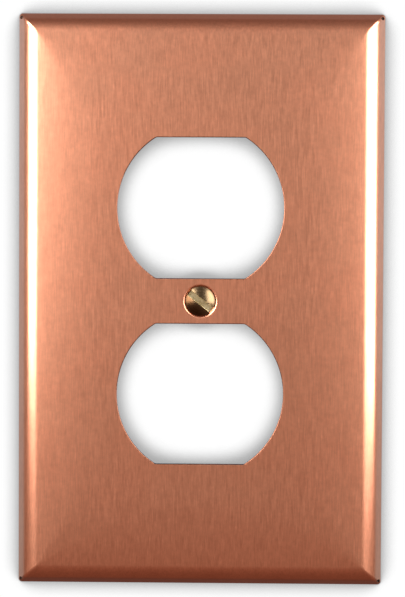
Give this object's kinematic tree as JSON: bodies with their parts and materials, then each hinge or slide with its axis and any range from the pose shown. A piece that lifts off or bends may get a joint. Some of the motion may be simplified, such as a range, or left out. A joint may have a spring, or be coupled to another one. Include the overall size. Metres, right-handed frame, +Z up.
{
  "type": "duplex receptacle cover plate",
  "caption": "Bent copper wall plate with openings for a duplex receptacle, held by a slotted oval-head brass screw through a central dimple.",
  "frame": {"origin": "where the screw's axis meets the wall plane, at the middle of the plate", "axes": "+Z up along the plate's long side, +Y into the wall, and the plate's face looks along -Y"},
  "size_m": [0.0768, 0.0136, 0.1204],
  "materials": {
    "copper": "solid copper sheet with a fine upright brushed grain under clear lacquer",
    "brass": "plain turned brass, lightly polished",
    "fibre": "red-brown vulcanised fibre"
  },
  "bodies": {
    "plate": {"wall_plate": "copper"},
    "retainer": {"screw_retainer": "fibre"},
    "screw": {"plate_screw": "brass"}
  },
  "joints": [
    {"name": "screw_travel", "type": "slide", "parent": "plate", "child": "retainer", "axis": [0, -1, 0], "range_m": [0, 0.00238]},
    {"name": "screw_turn", "type": "hinge", "parent": "retainer", "child": "screw", "pos_m": [0, 0, 0], "axis": [0, -1, 0], "range_deg": [0, 1080]}
  ],
  "couplings": [
    {"joint": "screw_turn", "follows": "screw_travel", "rad_per_m": 7915.8}
  ]
}
